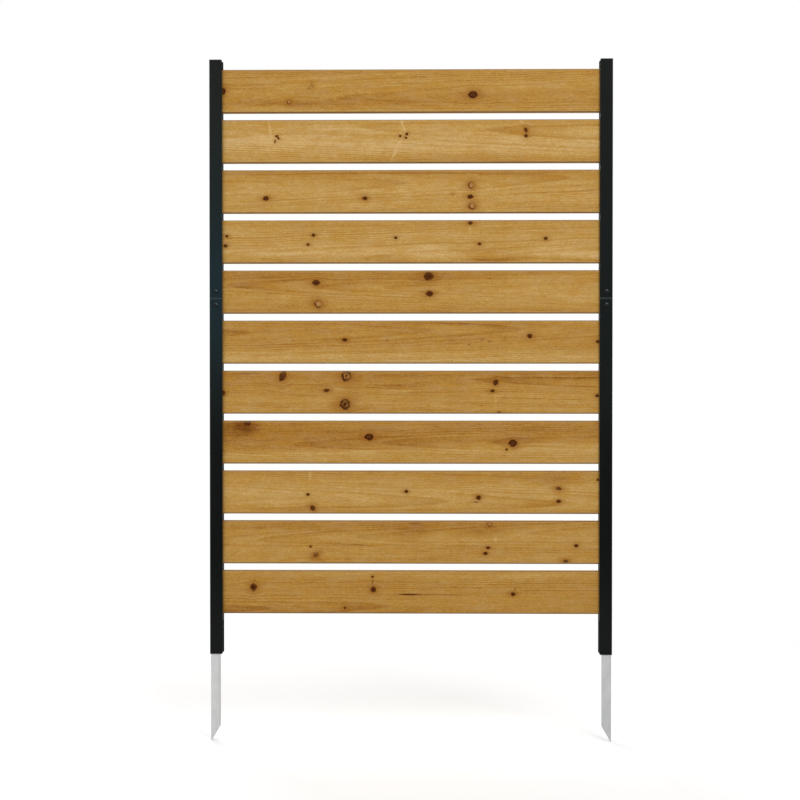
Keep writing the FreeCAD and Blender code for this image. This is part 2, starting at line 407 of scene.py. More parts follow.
BOARDS = [
    Board(tone=[(-49, .52), (-38, .57), (-26, .41), (-12, .47), (8, .56), (28, .6), (49, .52)],
          drift=0.02, tilt=3, pith=(46, -12, 14, 22),
          knots=[(141, -9, 17, 15, .95, 1), (-276, -25, 8, 8, .03, .75), (-427, 0, 11, 13, 1, 1),
                 (-231, 7, 4, 4, .35, .3), (-224, 13, 4, 8, .25, .2, 20)],
          streaks=[(-276, -26, 150, 6, -.16), (-120, -33, 200, 5, -.12), (180, -10, 90, 4, -.12),
                   (-330, -38, 120, 7, .12), (-185, -20, 60, 3, -.1, 4)]),
    Board(tone=[(-49, .62), (-30, .72), (-12, .92), (6, .84), (24, .76), (49, .68)],
          drift=-0.08, tilt=-4, pith=(70, 30, 10, -26),
          knots=[(-304, 12, 6, 5, .85, .7), (-300, 7, 5, 5, .85, .7),
                 (-308, 0, 3, 7, .75, .6, -10), (-24, 12, 5, 5, .85, .7), (-9, 16, 6, 6, .95, .8),
                 (-11, 8, 5, 5, .75, .6), (261, 25, 6, 11, .75, .7, 25), (261, 12, 7, 7, .95, .8)],
          streaks=[(-412, 11, 30, 3, -.35), (-320, 30, 2.5, 20, .42, 9),
                   (-17, 34, 2.5, 15, .5, 18), (-35, -22, 2.5, 24, .4, -25),
                   (250, 42, 2.5, 8, .35, 40), (120, -40, 260, 6, -.14),
                   (-150, 40, 240, 4, -.12)]),
    Board(tone=[(-49, .67), (-25, .71), (5, .73), (30, .56), (49, .45)],
          drift=0, tilt=6, pith=(38, 20, -18, 30),
          knots=[(-329, -15, 11, 9, 1, 1), (-104, -15, 9, 8, 1, .9),
                 (137, 14, 11, 15, .09, .85, -20), (135, -12, 11, 9, 1, 1),
                 (139, -33, 13, 15, .1, .9, 20), (96, -6, 4, 4, .3, .3)],
          streaks=[(-100, 41, 330, 6, -.14), (240, 43, 220, 5, -.16), (-329, -16, 70, 4, -.1),
                   (-104, -15, 60, 3, -.1)]),
    Board(tone=[(-49, .56), (-40, .63), (-27, .88), (-10, .71), (15, .73), (49, .57)],
          drift=-0.02, tilt=-5, pith=(54, -36, 12, 18),
          knots=[(-418, 13, 6, 6, .95, .8), (-421, -9, 7, 7, .95, .8), (-221, 15, 7, 7, .85, .8),
                 (-233, -6, 6, 6, .85, .7), (-34, 9, 6, 6, .85, .7), (135, 43, 9, 9, .8, .7),
                 (156, -5, 7, 6, .95, .8), (306, 7, 7, 7, .85, .8)],
          streaks=[(185, -41, 62, 5, -.42), (340, -22, 90, 22, .16), (165, -24, 80, 15, -.34),
                   (55, -24, 60, 22, .14), (135, 30, 5, 12, .2), (-300, 36, 140, 5, -.12),
                   (230, 20, 160, 4, -.1)]),
    Board(tone=[(-49, .47), (-35, .55), (-10, .68), (14, .58), (30, .48), (40, .4), (49, .46)],
          drift=0.16, tilt=8, pith=(30, 8, 20, -22),
          knots=[(-215, 21, 14, 12, .9, 1), (-210, -27, 15, 16, .02, .95, -15),
                 (41, 35, 18, 16, .85, 1), (43, -4, 14, 11, 1, 1)],
          streaks=[(-390, 12, 160, 2, -.12), (-380, -4, 150, 2, -.1), (-290, -4, 9, 16, .12, 18),
                   (-260, -31, 60, 6, -.14), (120, 34, 130, 5, -.16), (260, 30, 140, 9, .1)]),
    Board(tone=[(-49, .77), (-30, .74), (-20, .64), (-8, .5), (20, .48), (49, .52)],
          drift=0.01, tilt=-3, pith=(44, 26, -16, 14),
          knots=[(-150, 5, 9, 7, 1, 1), (270, 14, 9, 9, 1, .9), (424, 1, 7, 7, 1, .9),
                 (179, 1, 4, 4, .35, .3), (163, 6, 4, 4, .35, .3), (133, -5, 4, 4, .35, .3),
                 (-53, 4, 4, 4, .3, .3)],
          streaks=[(-60, 41, 300, 4, -.12), (200, 40, 200, 4, -.14), (-150, 5, 60, 3, -.12),
                   (-360, 24, 120, 6, -.1)]),
    Board(tone=[(-49, .52), (-20, .6), (4, .55), (16, .46), (32, .34), (49, .35)],
          drift=0.02, tilt=5, pith=(26, 30, 12, -16),
          knots=[(-291, 37, 12, 22, .7, .9, -22), (-146, 37, 18, 22, .45, .9, -20),
                 (-149, -27, 20, 23, .6, .85, 15), (-191, 4, 11, 7, .95, .8),
                 (-428, -2, 9, 9, 1, 1), (193, 22, 9, 12, .95, .9, -34), (186, 3, 8, 6, .85, .8),
                 (423, -8, 7, 7, 1, .9), (200, -46, 8, 5, .75, .5)],
          streaks=[(-26, 4, 40, 3, .24), (-60, 8, 60, 7, -.1), (-20, 17, 50, 2, -.25),
                   (60, -1, 120, 2, -.2), (-160, 5, 9, 5, .25), (300, -30, 150, 12, .08),
                   (193, -22, 2.5, 20, .2, 4), (-366, 42, 34, 1.6, -.35)]),
    Board(tone=[(-49, .58), (-26, .7), (-19, .72), (-12, .46), (10, .31), (30, .34), (49, .48)],
          drift=0.12, tilt=20, pith=(34, -2, 16, 8),
          knots=[(-372, 43, 15, 13, .85, .3, 10), (-95, 12, 17, 14, .8, 1),
                 (232, -2, 15, 15, .9, 1), (218, -16, 5, 5, .95, .8)],
          streaks=[(-400, 36, 60, 9, -.3), (-405, 18, 42, 14, -.13), (-377, 41, 23, 20, -.45),
                   (300, -4, 80, 2, .3), (200, 5, 80, 4, -.14), (-30, 12, 60, 3, -.16),
                   (60, 15, 110, 6, .12), (-240, 30, 150, 5, -.1)]),
    Board(tone=[(-49, .54), (-25, .69), (0, .78), (20, .68), (49, .53)],
          drift=0.01, tilt=-6, pith=(50, -20, -14, -20),
          knots=[(-234, -5, 6, 6, .85, .8), (-223, -36, 9, 12, .74, .6, 30),
                 (-10, 2, 7, 7, .95, .9), (154, -12, 9, 9, 1, 1), (149, -22, 11, 2, .75, .4),
                 (336, 9, 12, 8, .6, .2, -10), (336, -20, 10, 8, .75, .5), (425, 29, 5, 5, 1, .9)],
          streaks=[(-240, -37, 60, 4, -.14), (100, 40, 260, 5, -.12), (-330, 20, 130, 4, -.1),
                   (230, -30, 120, 4, -.12), (-229, 40, 2.5, 11, .3, -5),
                   (335, 27, 52, 15, -.25)]),
    Board(tone=[(-49, .54), (-20, .58), (4, .66), (24, .55), (49, .4)],
          drift=0.02, tilt=4, pith=(36, 14, 18, 26),
          knots=[(-228, -10, 5, 5, .85, .7), (-216, -29, 13, 10, .42, .4, 35),
                 (179, 41, 7, 9, .05, .8), (176, -12, 8, 6, .95, .9), (170, -25, 8, 7, .95, .9),
                 (376, -7, 8, 7, .95, .9), (352, -43, 11, 9, .5, .4)],
          streaks=[(-129, -8, 58, 1.6, -.5), (-209, -37, 14, 4, -.3, -38), (193, 6, 5, 5, .3),
                   (-330, 35, 120, 5, -.14), (60, 36, 160, 6, -.12), (3, 22, 42, 24, -.2),
                   (12, 45, 15, 4, -.3), (165, 27, 52, 15, -.23), (150, -10, 80, 5, -.12)]),
    Board(tone=[(-49, .38), (-28, .5), (-5, .52), (18, .51), (34, .56), (49, .62)],
          drift=0.04, tilt=-7, pith=(42, -30, -12, 18),
          knots=[(-358, 11, 12, 15, 1, .9), (-85, 6, 10, 12, 1, .9), (-87, 35, 5, 5, .85, .7),
                 (-150, -36, 5, 5, .75, .7), (233, -4, 9, 8, 1, .9)],
          streaks=[(-4, -4, 20, 1.5, -1.8), (50, -5, 75, 1.2, -.6), (-330, -46, 260, 10, -.14),
                   (200, 38, 200, 7, .08), (-140, 12, 130, 3, -.1), (-87, 22, 1.6, 8, -.6, -5),
                   (237, 6, 1.6, 6, -.6, -25), (-356, 24, 1.6, 6, -.4)]),
]


def knot_recipe():
    """One knot: moves the grain aside and adds its core, rim and halo to those before it."""
    knot = Recipe("knot", spot=Vector, ragged=float, aside=float, core=float, rim=float,
                  halo=float, nearest=float, middle=Vector, turn=Vector, half_size=Vector,
                  core_share=float, rim_share=float)
    (spot, ragged, aside, core, rim, halo, nearest,
     middle, turn, half_size, core_share, rim_share) = knot.given()
    full_halo, rim_middle = 8, 0.9
    along, up = knot.oval(spot, middle, turn, half_size)
    half_width, _, half_height = knot.parts(half_size)

    # The outline: an oval, pointed at its ends and ragged, at 1 from the middle.
    pointed = along * (1 - (up * up * 9).fade() * 0.12)
    out = (pointed * pointed + up * up).root() + ragged

    # Round it the grain gives way and the wood is stained, farther along the board than across.
    reach = along * along / 11.5 + up * up / 5.8
    push = up * half_height * reach.fade() * 0.62
    strength = ((half_width + half_height) / full_halo).least(1.0)

    # Its dark rim is open on one side where the core is light.
    open_side = (along + up) / (out + 0.3) * 0.42 + 0.4
    rim_here = abs(out - rim_middle).between(0.4, 0.14) * rim_share
    rim_here = rim_here * (1 - (1 - core_share) * open_side)
    knot.give(aside=aside + push,
              core=(out.between(1.06, 0.8) * core_share).most(core),
              rim=rim_here.most(rim),
              halo=((reach * 1.7).fade() * strength).most(halo),
              nearest=out.least(nearest))
    return knot


def streak_recipe():
    """One streak: makes the tone paler or darker inside a long soft oval."""
    streak = Recipe("streak", spot=Vector, tone=float, middle=Vector, turn=Vector,
                    half_size=Vector, strength=float)
    spot, tone, middle, turn, half_size, strength = streak.given()
    along, up = streak.oval(spot, middle, turn, half_size)
    streak.give(tone=tone + (along * along + up * up).fade() * strength)
    return streak


def grain_recipe(spacing):
    """Grain of one board: its wavy lines, growth rings, and stripes of several widths."""
    fir = Recipe("fir_grain", x=float, y=float, z=float, aside=float, seed=float, depth=float,
                 height=float, depth_lean=float, height_lean=float)
    x, y, z, aside, seed, depth, height, depth_lean, height_lean = fir.given()
    face = -7.65    # Y of the boards' front

    # Height above the board's middle along the fibres, which wander and pass round the knots.
    wander = fir.noise(x / 210 + seed, y / 40, z / 60, 1.0) * 9 - 4.5
    ripple = fir.noise(x / 46 + seed, y / 12, z / 13, 1.0) * 1.5 - 0.75
    grain = z - aside + wander + ripple

    # Growth rings round the pith, of uneven width and strength. Latewood ends in a sharp edge.
    behind = y - face - depth + x * depth_lean
    above = grain - height - x * height_lean
    radius = (behind * behind + above * above).root()
    rings = radius / spacing + fir.noise(radius / 9 + seed, 0.0, 0.0, 1.0) * 1.6
    ring = rings.fraction()
    ring_strength = fir.noise(rings / 1.7 + seed, x / 900, 0.0, 1.0).between(0.28, 0.72)
    latewood = ring.between(0.25, 0.97) * ring.between(1.0, 0.93) * ring_strength

    # Stripes from broad bands down to pores, clouds across them, and short dark and pale dashes.
    broad = fir.noise(x / 260 + seed, y / 30, grain / 10, 2.0) - 0.5
    middling = fir.noise(x / 70, y / 9 + seed, grain / 3.0, 3.0, 0.65) - 0.5
    narrow = fir.noise(x / 22, y / 5, grain / 1.9 + seed, 3.0, 0.7) - 0.5
    fibre = fir.noise(x / 16, y / 1.4, grain / 0.42 + seed, 3.0, 0.6) - 0.5
    pores = fir.noise(x / 5, y / 0.5, grain / 0.17, 2.0) - 0.5
    cloud = fir.noise(x / 45, y / 60 + seed, z / 22, 3.0) - 0.5
    speckle = fir.noise(x / 4.2, y / 3, z / 2.4 + seed, 2.0, 0.6) - 0.5
    dash = fir.noise(x / 26 + seed, y / 8, grain / 1.7, 2.0, 0.6).between(0.63, 0.74)
    pale = fir.noise(x / 40 - seed, y / 8, grain / 1.9, 2.0, 0.6).between(0.64, 0.76)
    change = broad * 0.3 + middling * 0.42 + narrow * 0.44 + fibre * 0.2 + cloud * 0.2
    change = change + speckle * 0.7 - latewood * 0.36 - dash * 0.36 + pale * 0.16
    evened = 0.045    # makes up for the dark rings and dashes
    fir.give(grain=grain, latewood=latewood, change=change + evened, fibre=fibre,
             relief=latewood * 0.06 + fibre * 0.12 + pores * 0.05 + middling * 0.1 - dash * 0.05)
    return fir


def stain_recipe(colours):
    """Colour and sheen of the stained wood from its tone, its grain and its knots."""
    stain = Recipe("fir_stain", x=float, y=float, z=float, tone=float, latewood=float,
                   fibre=float, core=float, rim=float, halo=float, nearest=float, seed=float)
    x, y, z, tone, latewood, fibre, core, rim, halo, nearest, seed = stain.given()
    lowest, highest = -0.4, 1.0
    span = highest - lowest
    shades = [(lowest, colours.crack), (0.0, colours.heart_dark), (0.3, colours.heart),
              (0.55, colours.golden), (0.76, colours.sapwood), (highest, colours.sap_pale)]
    stops = [((place - lowest) / span, tuple(shade)) for place, shade in shades]
    wood = stain.ramp((tone - lowest) / span, stops)

    # Patches of grey bloom and of resin, and the stained wood round the knots.
    bloom = stain.noise(x / 55 + seed, z / 16, seed, 3.0, 0.6).between(0.42, 0.75)
    wood = stain.mix(bloom * tone.between(-0.3, 0.3) * 0.34, wood, colours.bloom)
    amber = stain.noise(x / 38, z / 13 + seed, seed, 3.0, 0.6).between(0.45, 0.75)
    wood = stain.mix(amber * 0.4, wood, colours.amber)
    wood = stain.mix(halo * (0.8 + fibre), wood, colours.knot_halo)

    # The knots: their own rings, a light middle where the core is weak, and the dark wood.
    twist = stain.noise(x / 5, z / 5, seed, 2.0) * 6
    knot_rings = (nearest * 8 + twist + seed).sine() * 0.5 + 0.5
    heart = stain.mix(knot_rings * 0.3, colours.knot, colours.knot_halo)
    inside = nearest.between(0.9, 0.6) * (1 - core)
    wood = stain.mix(inside * 0.75, wood, colours.knot_light)
    dark = (core * 2.4 - knot_rings).most(rim).least(1.0)
    wood = stain.mix(dark, wood, heart)

    # The sawn ends, painted shade beside the posts, dusty long edges, and long edges with wear
    # and painted shade, darkest along the lower edge. These are distances from the middle of the
    # screen and of the board.
    sawn = stain.mix(latewood * 0.5, colours.end_grain, colours.heart_dark)
    end = abs(x).between(451.6, 452.3)
    wood = stain.mix(end, wood, sawn)
    # Painted shade: a dark strip on each board just beside the posts' front flanges.
    painted_post_shade = abs(x).between(425.0, 427.8) * 0.5
    wood = stain.mix(painted_post_shade, wood, colours.arris)
    lightened = abs(z).between(43.0, 47.0) * 0.36
    wood = stain.mix(lightened, wood, colours.bloom)
    # Edge wear and painted shade along both long edges, with more painted shade along the lower
    # one.
    patchy = 0.7 + stain.noise(x / 35, z / 9, seed, 2.0) * 0.4
    painted_lower_edge_shade = (z * -1.0).between(45.4, 47.6) * 0.85
    corner = abs(z).between(47.2, 48.7).most(painted_lower_edge_shade) * abs(y).between(5.4, 6.8)
    wood = stain.mix(corner * patchy, wood, colours.arris)
    stain.give(colour=wood, dark=dark,
               roughness=0.64 - latewood * 0.08 + fibre * 0.25 - dark * 0.14 + end * 0.2)
    return stain


def flat(across, up):
    """A point or size on the boards' front, as a vector in millimetres."""
    return Vector((across, 1.0, up))


def leaning(degrees):
    """Turn about the Y axis by which a mark leans."""
    return Vector((0.0, math.radians(-degrees), 0.0))


def fir_board(name, number, board, middle, recipes):
    """Stained fir: tone bands, growth rings that flow round the knots, and fine fibre."""
    knot_maker, streak_maker, grain_maker, stain_maker = recipes
    fir = Finish(name)
    x, y, z = fir.place()
    z = z - middle / MM
    seed = number * 7.31    # no two boards share their grain
    spot = fir.vector(x, 1.0, z)
    ragged = fir.noise(x / 3.4, y / 9, z / 2.4 + seed, 3.0, 0.65) * 0.9 - 0.45
    ragged = ragged + fir.noise(x / 9, y / 9, z / 7 - seed, 1.0) * 0.5 - 0.25
    far = 9.0
    marks = [0.0, 0.0, 0.0, 0.0, far]    # aside, core, rim, halo and nearest, as knots add to them
    for knot in [Knot(*row) for row in board.knots]:
        marks = fir.use(knot_maker, spot, ragged, *marks, flat(knot.x, knot.z),
                        leaning(knot.lean), flat(knot.width / 2, knot.height / 2),
                        knot.core, knot.rim)
    aside, core, rim, halo, nearest = marks
    depth, height, depth_lean, height_lean = board.pith
    grain, latewood, change, fibre, relief = fir.use(
        grain_maker, x, y, z, aside, seed, depth, height, depth_lean * MM, height_lean * MM)

    lowest, highest = board.tone[0][0], board.tone[-1][0]
    span = highest - lowest
    stops = greys([((h - lowest) / span, tone) for h, tone in board.tone])
    banded = grain - x * (board.tilt * MM)
    tone = fir.ramp((banded - lowest) / span, stops)
    tone = fir.node("ShaderNodeSeparateColor", {}, {"Color": tone})
    tone = tone + x * (board.drift * MM) + change
    along_grain = fir.vector(x, 1.0, grain)
    for mark in [Streak(*row) for row in board.streaks]:
        [tone] = fir.use(streak_maker, along_grain, tone, flat(mark.x, mark.z),
                         leaning(mark.lean), flat(mark.length, mark.height), mark.tone)
    wood, dark, gloss = fir.use(stain_maker, x, y, z, tone, latewood, fibre, core, rim,
                                halo, nearest, seed)
    fir.surface(base_color=wood, roughness=gloss, specular_ior_level=0.05,
                normal=fir.bump(relief - dark * 0.16, 0.7))
    return fir.material


# ---------------- metal and plastic


def powder_coat(name, seed, cast, edges, colours):
    """Satin black powder coat: fine orange peel, cool near the seam, warmer and darker lower down,
    and by its cast darker all over, which on the right post is painted shade.

    edges are the heights in metres at which its sheet is sheared, with edge wear and a painted
    highlight there.
    """
    cool_share, darkening_and_shade_share = cast
    coat = Finish("powder_coat_" + name)
    x, y, z = coat.place()
    cloud = coat.noise(x / 30 + seed, y / 30, z / 120, 2.0)
    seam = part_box("left_post_upper")[0].z / MM
    fade_height = 250
    rise = (z - seam) / fade_height
    cool = (rise * rise).fade() * (0.5 + cloud * 0.6) * cool_share
    # Darker lower down and lighter again at the foot; by its cast also darker all over, which on
    # the right post is painted shade.
    darkening_and_shade = z.between(800, 420).most(darkening_and_shade_share) * (0.75 + cloud * 0.25)
    darkening_and_shade = darkening_and_shade * (1 - z.between(240, 20) * 0.5)
    black = coat.mix(cool, colours.coat, colours.coat_cool)
    black = coat.mix(darkening_and_shade, black, colours.coat_warm)

    # Wear and painted highlight: sheared edges with wear and a painted highlight, faint upright
    # scuffs and specks of dust.
    chips = coat.noise(x / 1.6, y / 1.6, z / 1.6 + seed, 3.0)
    wear_and_highlight = 0.0
    for edge in edges:
        wear_and_highlight = (abs(z - edge / MM).between(1.7, 0.3) * (0.35 + chips * 0.6)).most(wear_and_highlight)
    scuff = coat.noise(x / 2.2 + seed, y / 2.2, z / 26, 3.0, 0.65).between(0.66, 0.82)
    wear_and_highlight = (scuff * 0.09).most(wear_and_highlight)
    black = coat.mix(wear_and_highlight, black, colours.coat_wear_and_highlight)
    dust = coat.noise(x / 0.9, y / 0.9, z / 0.9, 2.0).between(0.7, 0.9)
    black = coat.mix(dust * 0.06, black, colours.coat_wear_and_highlight)

    peel = coat.noise(x / 1.1, y / 1.1, z / 1.1 + seed, 2.0)
    fine = coat.noise(x / 0.32, y / 0.32, z / 0.32, 1.0)
    gloss = 0.4 + (cloud - 0.5) * 0.14 + wear_and_highlight * 0.25 + fine * 0.08
    relief = peel * 0.022 + fine * 0.006 - wear_and_highlight * 0.03
    coat.surface(base_color=black, roughness=gloss, normal=coat.bump(relief),
                 specular_ior_level=0.06)
    return coat.material


def galvanised(colours):
    """Zinc with faint spangles, runs along the tube, darker stains towards the point, and painted
    shade on the right stake.
    """
    stained_length = 110
    zinc = Finish("galvanised_steel")
    x, y, z = zinc.place()
    bend = zinc.noise(x / 9, y / 9, z / 9, 2.0) * 1.1
    spangle = zinc.cells(x / 7 + bend, y / 7, z / 9 + bend)
    runs = zinc.noise(x / 3.4, y / 3.4, z / 70, 3.0, 0.6)
    cloud = zinc.noise(x / 16, y / 16, z / 34, 2.0)
    shaded = x.between(-300, 300) * 0.3    # painted shade: the right stake is a little darker than the left
    dull_and_shade = (spangle * 0.14 + runs * 0.24 + cloud * 1.1 + shaded).between(0.35, 1.35)
    metal = zinc.mix(dull_and_shade, colours.zinc, colours.zinc_dull)
    tip = z.between(STAKE_TIP / MM + stained_length, STAKE_TIP / MM) * runs.between(0.4, 0.75)
    metal = zinc.mix(tip * 0.22, metal, colours.zinc_stain)
    scratch = zinc.noise(x / 0.5, y / 0.5, z / 40, 2.0, 0.7).between(0.68, 0.78)
    metal = zinc.mix(scratch * 0.18, metal, colours.zinc_stain)
    gloss = 0.46 + spangle * 0.05 + runs * 0.08
    relief = spangle * 0.004 + runs * 0.014 - scratch * 0.008
    zinc.surface(base_color=metal, metallic=0.58 + spangle * 0.05, roughness=gloss,
                 normal=zinc.bump(relief))
    return zinc.material


def blackened(colours):
    """Black oxide with rubbing in spots, and a painted highlight where a screw head faces up and
    right.
    """
    oxide = Finish("blackened_screw")
    x, y, z = oxide.place()
    cloud = oxide.noise(x / 2, y / 2, z / 2, 3.0)
    grit = oxide.noise(x / 0.25, y / 0.25, z / 0.25, 2.0)
    right, _, up = oxide.parts(oxide.node("ShaderNodeNewGeometry", {}, {}, "Normal"))
    # Painted highlight: each head is paler where it faces up and to the right, towards the key
    # lamp.
    lightened = (up * 0.8 + right * 0.4).between(0.14, 0.42) * 0.68
    rubs_and_highlight = (cloud.between(0.5, 0.75) * 0.2 + grit.between(0.6, 0.8) * 0.12).most(lightened)
    black = oxide.mix(rubs_and_highlight, colours.bolt, colours.bolt_rubs_and_highlight)
    oxide.surface(base_color=black, roughness=0.14 + cloud * 0.06 + grit * 0.04,
                  normal=oxide.bump(grit * 0.003 + cloud * 0.004), specular_ior_level=0.13)
    return oxide.material


def moulded(colours):
    """Black moulded plastic with a fine spark-eroded grain and scuffed lips."""
    plastic = Finish("spacer_plastic")
    x, y, z = plastic.place()
    grain = plastic.noise(x / 0.35, y / 0.35, z / 0.35, 2.0)
    flow = plastic.noise(x / 14, y / 5, z / 9, 2.0)
    scuff = plastic.noise(x / 1.2, y / 5, z / 1.2, 3.0).between(0.62, 0.8)
    shade = plastic.mix(scuff * 0.2 + flow * 0.1, colours.plastic, colours.coat_wear_and_highlight)
    plastic.surface(base_color=shade, roughness=0.5 + flow * 0.14 + grain * 0.08,
                    normal=plastic.bump(grain * 0.02 - scuff * 0.01), specular_ior_level=0.3)
    return plastic.material


# ---------------- screws


def loft(mesh, rings):
    """Joins rings of points into a closed skin with a flat face at each end."""
    vertices = [[mesh.verts.new(point) for point in ring] for ring in rings]
    sides = len(vertices[0])
    for lower, upper in zip(vertices, vertices[1:]):
        for side in range(sides):
            after = (side + 1) % sides
            mesh.faces.new((lower[side], lower[after], upper[after], upper[side]))
    mesh.faces.new(list(reversed(vertices[0])))
    mesh.faces.new(vertices[-1])
    bmesh.ops.recalc_face_normals(mesh, faces=mesh.faces)


def ring_points(radius, depth, sides):
    """A circle round the screw's axis, this far along Y from under the head."""
    turns = [2 * math.pi * side / sides for side in range(sides)]
    return [(radius * math.cos(turn), depth, radius * math.sin(turn)) for turn in turns]


def thread_points(depth, tip, sizes, sides):
    """One ring of the threaded shank: the crest climbs one pitch in a full turn.

    The thread starts under the head and the shank tapers over the last pitch.
    """
    crest, pitch = sizes.shank_diameter / 2, sizes.thread_pitch
    start = min(1.0, depth / pitch)
    taper = min(1.0, (tip - depth) / pitch)
    points = []
    for side in range(sides):
        phase = (depth / pitch + side / sides) % 1.0
        groove = sizes.thread_depth * (1 - abs(2 * phase - 1)) * start
        radius = crest - groove - (1 - taper) * sizes.thread_depth
        turn = 2 * math.pi * side / sides
        points.append((radius * math.cos(turn), depth, radius * math.sin(turn)))
    return points


def screw_body(tip, sizes):
    """Pan head towards -Y and threaded shank to this depth, as one closed mesh."""
    sides = sizes.head_sides
    head, rim = sizes.head_diameter / 2, sizes.head_rim
    dome = sizes.head_height - rim
    dome_steps, steps_per_pitch = 12, 6
    edge = 0.15 * MM
    round_off = (head * head + dome * dome) / (2 * dome)
    widest = math.asin(head / round_off)
    rings = []
    for step in range(1, dome_steps + 1):
        turn = widest * step / dome_steps
        depth = -rim - dome + round_off * (1 - math.cos(turn))
        rings.append(ring_points(round_off * math.sin(turn), depth, sides))
    rings.append(ring_points(head, -edge, sides))
    rings.append(ring_points(head - edge, 0, sides))
    count = round(tip / sizes.thread_pitch * steps_per_pitch)
    for step in range(count + 1):
        rings.append(thread_points(tip * step / count, tip, sizes, sides))
    mesh = bmesh.new()
    loft(mesh, rings)
    return mesh


def recess_cutter(sizes):
    """Tapered cross that sinks the driving recess into a head."""
    span, width = sizes.recess_span / 2, sizes.recess_width / 2
    top, bottom = -sizes.head_height - MM, -sizes.head_height + sizes.recess_depth
    rings = []
    widened, narrowed = (1.15, 1.1), (0.42, 0.8)    # of the span and the width, at each end
    for depth, (long_share, wide_share) in ((top, widened), (bottom, narrowed)):
        reach, half = span * long_share, width * wide_share
        quarter = [(reach, -half), (reach, half), (half, half)]
        ring = []
        for _ in range(4):
            ring += [(u, depth, v) for u, v in quarter]
            quarter = [(-v, u) for u, v in quarter]
        rings.append(ring)
    mesh = bmesh.new()
    loft(mesh, rings)
    return mesh


def as_object(name, mesh):
    """Puts a bmesh into the scene under this name."""
    data = bpy.data.meshes.new(name)
    mesh.to_mesh(data)
    mesh.free()
    made = bpy.data.objects.new(name, data)
    bpy.context.scene.collection.objects.link(made)
    return made


def screw_mesh(tip, sizes):
    """The finished screw at the origin, head towards -Y, as mesh data."""
    body = as_object("screw_body", screw_body(tip, sizes))
    cutter = as_object("recess_cutter", recess_cutter(sizes))
    cut = body.modifiers.new("recess", "BOOLEAN")
    cut.operation = "DIFFERENCE"
    cut.object = cutter
    graph = bpy.context.evaluated_depsgraph_get()
    finished = bpy.data.meshes.new_from_object(body.evaluated_get(graph))
    bpy.data.objects.remove(body)
    bpy.data.objects.remove(cutter)
    finished.polygons.foreach_set("use_smooth", [True] * len(finished.polygons))
    finished.set_sharp_from_angle(angle=SHARP_ANGLE)
    return finished


def build_screws(node, facing, material, sizes):
    """One piece with the four screws of a CAD node, heads towards -Y (facing -1) or +Y (1)."""
    low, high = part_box(node)
    head = sizes.head_diameter / 2
    sheet = (low.y if facing < 0 else high.y) - facing * sizes.head_height
    tip = (high.y - sheet) if facing < 0 else (sheet - low.y)
    data = screw_mesh(tip, sizes)
    joined = bmesh.new()
    spots = [(x, z) for x in (low.x + head, high.x - head) for z in (low.z + head, high.z - head)]
    for index, (x, z) in enumerate(spots):
        copy = data.copy()
        turn = math.radians(FIRST_TURN + NEXT_TURN * index)
        for vertex in copy.vertices:
            u, y, v = vertex.co
            across = u * math.cos(turn) - v * math.sin(turn)
            up = u * math.sin(turn) + v * math.cos(turn)
            vertex.co = (x - facing * across, sheet - facing * y, z + up)
        joined.from_mesh(copy)
        bpy.data.meshes.remove(copy)
    screws = as_object(node + "_detailed", joined)
    screws.data.set_sharp_from_angle(angle=SHARP_ANGLE)
    screws.data.materials.append(material)
    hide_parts(node)
    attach(screws, "root")


# ---------------- studio


def is_seen_ray(tree):
    """1 for rays from the camera and for those that metal and glass send on."""
    seen = 0.0
    for output in ("Is Camera Ray", "Is Glossy Ray", "Is Transmission Ray"):
        seen = tree.node("ShaderNodeLightPath", {}, {}, output) + seen
    return seen.least(1.0)


def studio_floor(colours):
    """Pale floor: white far away, white with the object's soft shadow near it."""
    floor = Finish("studio_floor")
    x, y, _ = floor.place()
    away = (x * x + y * y).root()
    near = away.between(SHADOW_FAR, SHADOW_NEAR)
    matt = floor.node("ShaderNodeBsdfDiffuse", {}, {"Color": colours.floor})
    white, veil = (floor.node("ShaderNodeEmission", {}, {"Color": (1, 1, 1), "Strength": light})
                   for light in (WHITE, FLOOR_VEIL))
    shaded = floor.node("ShaderNodeAddShader", {}, {0: matt, 1: veil})
    shown = floor.node("ShaderNodeMixShader", {}, {0: near, 1: white, 2: shaded})
    both = floor.node("ShaderNodeMixShader", {}, {0: is_seen_ray(floor), 1: matt, 2: shown})
    floor.feed(floor.tree.nodes["Material Output"].inputs["Surface"], both)
    return floor.material


def build_floor(sizes, colours):
    """Round floor at the height of the stakes' points."""
    mesh = bmesh.new()
    bmesh.ops.create_circle(mesh, cap_ends=True, segments=96, radius=sizes.floor_radius)
    floor = as_object("studio_floor", mesh)
    floor.location.z = STAKE_TIP
    floor.data.materials.append(studio_floor(colours))


def build_world():
    """White behind the object, and an even soft light on it."""
    world = bpy.data.worlds.new("studio")
    bpy.context.scene.world = world
    world.use_nodes = True
    sky = Tree(world.node_tree)
    background = sky.tree.nodes["Background"]
    sky.feed(background.inputs["Color"], (1, 1, 1))
    inputs = {"Value": is_seen_ray(sky), "To Min": WORLD_LIGHT, "To Max": WHITE}
    sky.feed(background.inputs["Strength"], sky.node("ShaderNodeMapRange", {}, inputs))


def aim(thing, target):
    """Turns a lamp or the camera towards a point."""
    thing.rotation_mode = "QUATERNION"
    thing.rotation_quaternion = (Vector(target) - thing.location).to_track_quat("-Z", "Y")


def soft_lamp(name, place, side, watts, target):
    """A square lamp that lights the screen softly."""
    light = bpy.data.lights.new(name, "AREA")
    light.size = side
    light.energy = watts
    lamp = bpy.data.objects.new(name, light)
    bpy.context.scene.collection.objects.link(lamp)
    lamp.location = place
    aim(lamp, target)


